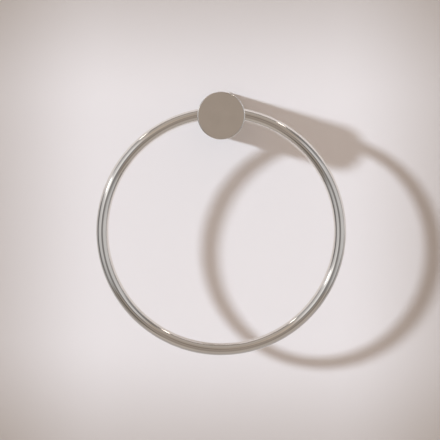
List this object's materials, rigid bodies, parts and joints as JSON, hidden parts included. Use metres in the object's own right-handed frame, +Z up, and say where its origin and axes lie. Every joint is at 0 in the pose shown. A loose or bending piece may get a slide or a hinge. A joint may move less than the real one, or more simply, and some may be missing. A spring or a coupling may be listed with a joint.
{
  "type": "towel ring",
  "caption": "Wall-mounted towel ring: a round rod bent into a ring and clamped by its ends in a plain cylindrical post that slips over a concealed screwed bracket.",
  "frame": {"origin": "centre of the post's back on the wall plane", "axes": "+Y into the wall along the post's axis, +Z up, +X to the right as seen from the room"},
  "size_m": [0.175, 0.101, 0.1856],
  "materials": {
    "polished_nickel": "polished",
    "turned_brass": "satin",
    "stainless_steel": "satin",
    "zinc_plated_steel": "satin"
  },
  "bodies": {
    "root": {"ring": "polished_nickel", "post": "polished_nickel", "wall_bracket": "turned_brass", "post_set_screw": "stainless_steel", "ring_clamp_screws": "stainless_steel", "wall_screws": "zinc_plated_steel"}
  },
  "joints": []
}
